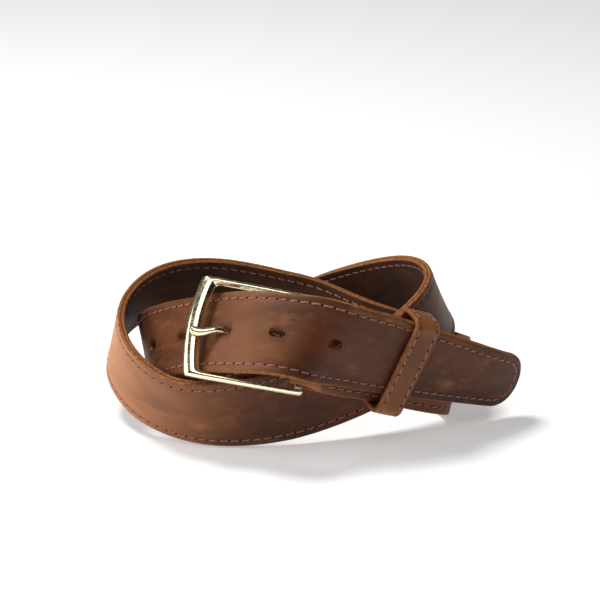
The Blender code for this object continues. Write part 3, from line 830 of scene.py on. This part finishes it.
def make_buckle_frame(matrix):
    upper = frame_outline()
    lower = [((a[0], -a[1]), (b[0], -b[1])) for a, b in reversed(upper[:-1])]
    outer = smooth_path([a for a, _ in upper + lower], 4)
    inner = smooth_path([b for _, b in upper + lower], 4)
    rings = []
    for a, b in zip(outer, inner):
        rings.append([(*(a + share * (b - a)), height) for share, height in FRAME_SECTION])
    mesh = face_outwards(grid_mesh("buckle_frame_polished", rings))
    mesh.transform(matrix)
    link("buckle_frame_polished", mesh, ("brass",), "buckle", ("buckle_frame",))


def make_heel_bar(matrix):
    """A turned pin with rounded shoulders, its ends flush with the arms."""
    shoulder, end = BUCKLE_OPENING / 2 - RUNNING_GAP, BUCKLE_OPENING / 2 + 2.3
    half = [(0.0, end), (0.9, end), (1.2, end - 0.25)]
    half += [(1.2, shoulder), (1.7, shoulder), (1.9, shoulder - 0.25)]
    profile = half + [(r, -y) for r, y in reversed(half)]
    rings = []
    for r, y in profile:
        turns = [2 * math.pi * k / 28 for k in range(28)]
        radius = max(r, 0.01)
        rings.append([(radius * math.cos(t), y, radius * math.sin(t)) for t in turns])
    mesh = face_outwards(grid_mesh("heel_bar_turned", rings))
    mesh.transform(matrix)
    link("heel_bar_turned", mesh, ("steel",), "buckle", ("heel_bar",))


def prong_path(matrix):
    """Points (x, y, z, width, thickness) along the prong, in the buckle's own frame."""
    inverse = matrix.inverted()
    centre, forward, _, outward = STRAP.frame(PRONG_HOLE)
    hole = np.array(inverse @ (Vector(centre) * MM)) / MM
    back = np.array(inverse.to_3x3() @ Vector(-forward))
    lift = np.array(inverse.to_3x3() @ Vector(outward))
    crank = back * math.cos(PRONG_CRANK) + lift * math.sin(PRONG_CRANK)
    reach = PRONG_RISE / math.sin(PRONG_CRANK)
    ring = HEEL_BAR_RADIUS + RUNNING_GAP + PRONG_LOOP_THICKNESS / 2
    path = []
    for degrees in (62, 90, 120, 150, 180, 210, 240, 268):
        turn = math.radians(degrees)
        path.append((ring * math.cos(turn), -SLOT_CENTRE, ring * math.sin(turn), 3.6, PRONG_LOOP_THICKNESS))
    before, after = hole - crank * reach, hole + crank * reach
    side = hole[1]
    path.append((7.0, -SLOT_CENTRE - 0.2, -ring - 0.2, 3.8, 1.7))
    path.append((before[0] - 4.0, side + 0.3, before[2] + 0.1, 3.6, 2.0))
    path.append((before[0], side, before[2], 3.0, 1.9))
    path.append((hole[0], side, hole[2], 2.7, 1.8))
    path.append((after[0], side, after[2], 3.2, 1.9))
    path.append((BUCKLE_LENGTH - 2.5, -PRONG_TIP_SIDE, PRONG_OVER_BAR, 3.8, 2.2))
    path.append((BUCKLE_LENGTH + 1.4, -PRONG_TIP_SIDE, PRONG_OVER_BAR + 0.1, 3.7, 2.0))
    path.append((BUCKLE_LENGTH + 2.1, -PRONG_TIP_SIDE, PRONG_OVER_BAR, 3.0, 1.6))
    path.append((BUCKLE_LENGTH + 2.4, -PRONG_TIP_SIDE, PRONG_OVER_BAR - 0.1, 1.8, 1.0))
    return path


# The prong's section: (across, height) in half widths and half thicknesses.
PRONG_SECTION = (
    (-0.9, -1.0),
    (-1.0, -0.85),
    (-1.0, -0.1),
    (-0.92, 0.1),
    (-0.5, 0.88),
    (-0.36, 1.0),
    (0.36, 1.0),
    (0.5, 0.88),
    (0.92, 0.1),
    (1.0, -0.1),
    (1.0, -0.85),
    (0.9, -1.0),
)


def make_prong(matrix):
    path = smooth_path(prong_path(matrix), 4)
    heading = np.gradient(path[:, :3], axis=0)
    rings = []
    for (x, y, z, wide, thick), along in zip(path, heading):
        normal = np.array((-along[2], 0.0, along[0])) / math.hypot(along[0], along[2])
        across = np.array((0.0, 1.0, 0.0))
        spot = np.array((x, y, z))
        rings.append([spot + across * (a * wide / 2) + normal * (n * thick / 2) for a, n in PRONG_SECTION])
    mesh = face_outwards(grid_mesh("prong_polished", rings))
    mesh.transform(matrix)
    link("prong_polished", mesh, ("brass",), "prong", ("prong",))


# ---- keeper --------------------------------------------------------------------------------------------
def keeper_axes():
    """The keeper's middle, its axes (along, up, to the front) and the tip run's length there."""
    _, forward, up, _ = STRAP.frame(KEEPER_AT)
    start = STRAP.point(KEEPER_AT, 0, 0)
    reach = np.arange(STRAP.length - 130, STRAP.length, 1.0)
    over = min(reach, key=lambda s: abs((STRAP.point(s, 0, 0) - start) @ forward))
    _, other_forward, other_up, _ = STRAP.frame(over)
    forward = forward + other_forward
    forward /= np.linalg.norm(forward)
    up = up + other_up
    up -= forward * (up @ forward)
    up /= np.linalg.norm(up)
    return (start + STRAP.point(over, 0, 0)) / 2, forward, up, np.cross(forward, up), over


def keeper_depths():
    """How far the two straps reach behind and in front of the keeper's middle."""
    middle, _, up, outward, over = keeper_axes()
    reach = KEEPER_WIDTH / 2 + KEEPER_TRAVEL + 1.0
    behind, front, high = [], [], []
    for start, side in ((KEEPER_AT, -1), (over, 1)):
        for s in np.linspace(start - reach, start + reach, 13):
            for across in (-STRAP_WIDTH / 2, 0.0, STRAP_WIDTH / 2):
                spot = STRAP.point(s, across, side * CAD_THREAD_TOP) - middle
                (behind if side < 0 else front).append(spot @ outward)
                high.append(spot @ up)
    return min(behind) - KEEPER_CLEARANCE, max(front) + KEEPER_CLEARANCE, (max(high) + min(high)) / 2


def keeper_loop(behind, front, centre, offset, gap):
    """Points (up, out) round the keeper from one side of its butt joint to the other."""
    tall = KEEPER_HALF_HEIGHT + offset
    low, high = behind - offset, front + offset
    radius = KEEPER_CORNER + offset
    points = [(gap + (tall - radius - gap) * k / 8, low) for k in range(8)]
    for sign, edge, start in ((1, low, 270), (1, high, 0), (-1, high, 90), (-1, low, 180)):
        inward = 1 if edge == low else -1
        for step in range(9):
            turn = math.radians(start + 90 * step / 8)
            y = sign * (tall - radius) + radius * math.cos(turn)
            points.append((y, edge + inward * radius + radius * math.sin(turn)))
        if start == 0:
            points += [(y, high) for y in np.linspace(tall - radius, radius - tall, 16)[1:-1]]
    points += [(-gap - (tall - radius - gap) * k / 8, low) for k in range(8, -1, -1)]
    return [(y + centre, z) for y, z in points]


# The band's section: (share of the half width, share of the thickness).
BAND_SECTION = (
    (-1.0, 0.15),
    (-1.0, 0.7),
    (-0.985, 0.86),
    (-0.955, 0.95),
    (-0.90, 1.0),
    (-0.76, 1.0),
    (-0.685, 0.9),
    (-0.61, 1.0),
    (-0.3, 1.03),
    (0.0, 1.04),
    (0.3, 1.03),
    (0.61, 1.0),
    (0.685, 0.9),
    (0.76, 1.0),
    (0.90, 1.0),
    (0.955, 0.95),
    (0.985, 0.86),
    (1.0, 0.7),
    (1.0, 0.15),
    (0.97, 0.0),
    (-0.97, 0.0),
)


def make_keeper(matrix):
    behind, front, centre = keeper_depths()
    half = KEEPER_WIDTH / 2
    inner = np.array(keeper_loop(behind, front, centre, 0.0, KEEPER_BUTT_GAP / 2))
    outer = np.array(keeper_loop(behind, front, centre, KEEPER_THICKNESS, KEEPER_BUTT_GAP / 2))
    track = np.concatenate(([0.0], np.cumsum(np.linalg.norm(np.diff(outer, axis=0), axis=1))))
    rings, uv, rims, pull_and_light_marks = [], [], [], []
    for a, b, length in zip(inner, outer, track):
        ring = []
        for share, depth in BAND_SECTION:
            spot = a + (b - a) * depth
            ring.append((share * half, *spot))
        rings.append(ring)
        uv.append([(length + 300.0, share * half + depth * 2) for share, depth in BAND_SECTION])
        rims.append([max(0.0, 1 - abs(abs(share) - 0.685) / 0.12) for share, _ in BAND_SECTION])
        turn = min(abs(abs(b[0] - centre) - KEEPER_HALF_HEIGHT), 4.0)
        pull_and_light_marks.append([0.25 + 0.35 * (1 - turn / 4.0)] * len(BAND_SECTION))
    looks = [1, 1, 1] + [0] * 12 + [1, 1, 1] + [1, 0, 1]
    marks = {"pull_and_light": pull_and_light_marks, "rim": rims}
    mesh = face_outwards(grid_mesh("keeper_leather", rings, uv=uv, material=looks, marks=marks))
    mesh.transform(matrix)
    link("keeper_leather", mesh, ("face", "edge"), "keeper", ("keeper_band",))
    make_keeper_threads(matrix, behind, front, centre, half)


def make_keeper_threads(matrix, behind, front, centre, half):
    line = np.array(keeper_loop(behind, front, centre, KEEPER_THICKNESS - 0.12, 1.5))
    track = np.concatenate(([0.0], np.cumsum(np.linalg.norm(np.diff(line, axis=0), axis=1))))
    count = round(track[-1] / STITCH_PITCH)
    marks = np.linspace(0, track[-1], count + 1)
    ys, zs = np.interp(marks, track, line[:, 0]), np.interp(marks, track, line[:, 1])
    turn = np.array(matrix.to_3x3())
    origin = np.array(matrix.translation) / MM
    for name, side in (("keeper_thread_left", -1), ("keeper_thread_right", 1)):
        row = side * (half - KEEPER_THREAD_INSET)
        spots, outs = [], []
        for k, (y, z) in enumerate(zip(ys, zs)):
            a, b = max(k - 1, 0), min(k + 1, count)
            along = np.array((ys[b] - ys[a], zs[b] - zs[a]))
            along /= np.linalg.norm(along)
            spots.append(origin + turn @ np.array((row, y, z)))
            outs.append(turn @ np.array((0.0, along[1], -along[0])))
        stitched = f"{name}_stitching"
        make_thread(stitched, np.array(spots), np.array(outs), 0.3, "keeper", name)


def dress_staple():
    """The staple keeps its CAD shape and takes the steel look."""
    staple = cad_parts["keeper_staple"]
    for material_slot in staple.material_slots:
        material_slot.material = LOOKS["steel"]


# ---- stage ---------------------------------------------------------------------------------------------
CAMERA_TARGET = np.array((8.3, 35.0, 55.8)) + COIL_SHIFT
CAMERA_DISTANCE = 1000.0
CAMERA_DOWN = math.radians(20)
SENSOR = 36.0
FOCAL_IN_FRAMES = 3.648    # focal length in frame widths
FLOOR_REACH = 6.0          # metres to each side
FLOOR_GLOW = 0.36
LIGHT_SIDE = (-0.5, 0.55, 0.55)      # where the studio is bright; it is dim on the other side
WORLD_DARK, WORLD_BRIGHT = 0.04, 1.0


def make_camera():
    data = bpy.data.cameras.new("camera")
    data.sensor_width = SENSOR
    data.lens = SENSOR * FOCAL_IN_FRAMES
    data.clip_end = 20.0
    camera = bpy.data.objects.new("camera", data)
    back = np.array((0.0, -math.cos(CAMERA_DOWN), math.sin(CAMERA_DOWN)))
    camera.location = Vector(CAMERA_TARGET + back * CAMERA_DISTANCE) * MM
    camera.rotation_euler = (math.pi / 2 - CAMERA_DOWN, 0.0, 0.0)
    bpy.context.scene.collection.objects.link(camera)
    bpy.context.scene.camera = camera


def area_light(name, size, power, place, aim):
    data = bpy.data.lights.new(name, "AREA")
    data.energy = power
    data.size = size
    light = bpy.data.objects.new(name, data)
    light.location = place
    light.rotation_euler = (Vector(aim) - Vector(place)).to_track_quat("-Z", "Y").to_euler()
    bpy.context.scene.collection.objects.link(light)


def make_stage():
    floor = bpy.data.meshes.new("floor")
    corners = [(x * FLOOR_REACH, y * FLOOR_REACH, 0) for x, y in ((-1, -1), (1, -1), (1, 1), (-1, 1))]
    floor.from_pydata(corners, [], [(0, 1, 2, 3)])
    piece = bpy.data.objects.new("floor", floor)
    bpy.context.scene.collection.objects.link(piece)
    paper = plain("floor_paper", (0.84, 0.84, 0.84), 0.7)
    sockets = paper.node_tree.nodes["Principled BSDF"].inputs
    sockets["Emission Color"].default_value = (1, 1, 1, 1)
    sockets["Emission Strength"].default_value = FLOOR_GLOW
    floor.materials.append(paper)
    world = bpy.data.worlds.new("studio")
    world.use_nodes = True
    tree = world.node_tree
    place = tree.nodes.new("ShaderNodeTexCoord").outputs["Generated"]
    toward = tree.nodes.new("ShaderNodeVectorMath")
    toward.operation = "DOT_PRODUCT"
    toward.inputs[1].default_value = LIGHT_SIDE
    tree.links.new(place, toward.inputs[0])
    level = tree.nodes.new("ShaderNodeMapRange")
    level.interpolation_type = "SMOOTHSTEP"
    for k, value in ((1, -0.35), (2, 0.45), (3, WORLD_DARK), (4, WORLD_BRIGHT)):
        level.inputs[k].default_value = value
    tree.links.new(toward.outputs["Value"], level.inputs[0])
    tree.links.new(level.outputs[0], tree.nodes["Background"].inputs[1])
    bpy.context.scene.world = world
    bpy.context.scene.view_settings.view_transform = "Standard"
    area_light("key", 0.4, 14.0, (-0.42, 0.14, 1.25), (0.0, 0.0, 0.03))
    area_light("overhead", 0.5, 2.0, (0.06, -0.7, 1.05), (-0.05, -0.05, 0.05))
    area_light("left_fill", 0.9, 11.0, (-1.3, -0.42, 0.55), (0.0, 0.0, 0.03))


def main():
    make_camera()
    make_strap()
    make_strap_threads()
    heel, ahead, down, front = buckle_axes()
    matrix = placed(heel, ahead, down, front)
    make_buckle_frame(matrix)
    make_heel_bar(matrix)
    make_prong(matrix)
    middle, forward, up, outward, _ = keeper_axes()
    make_keeper(placed(middle, forward, up, outward))
    dress_staple()
    make_stage()


main()
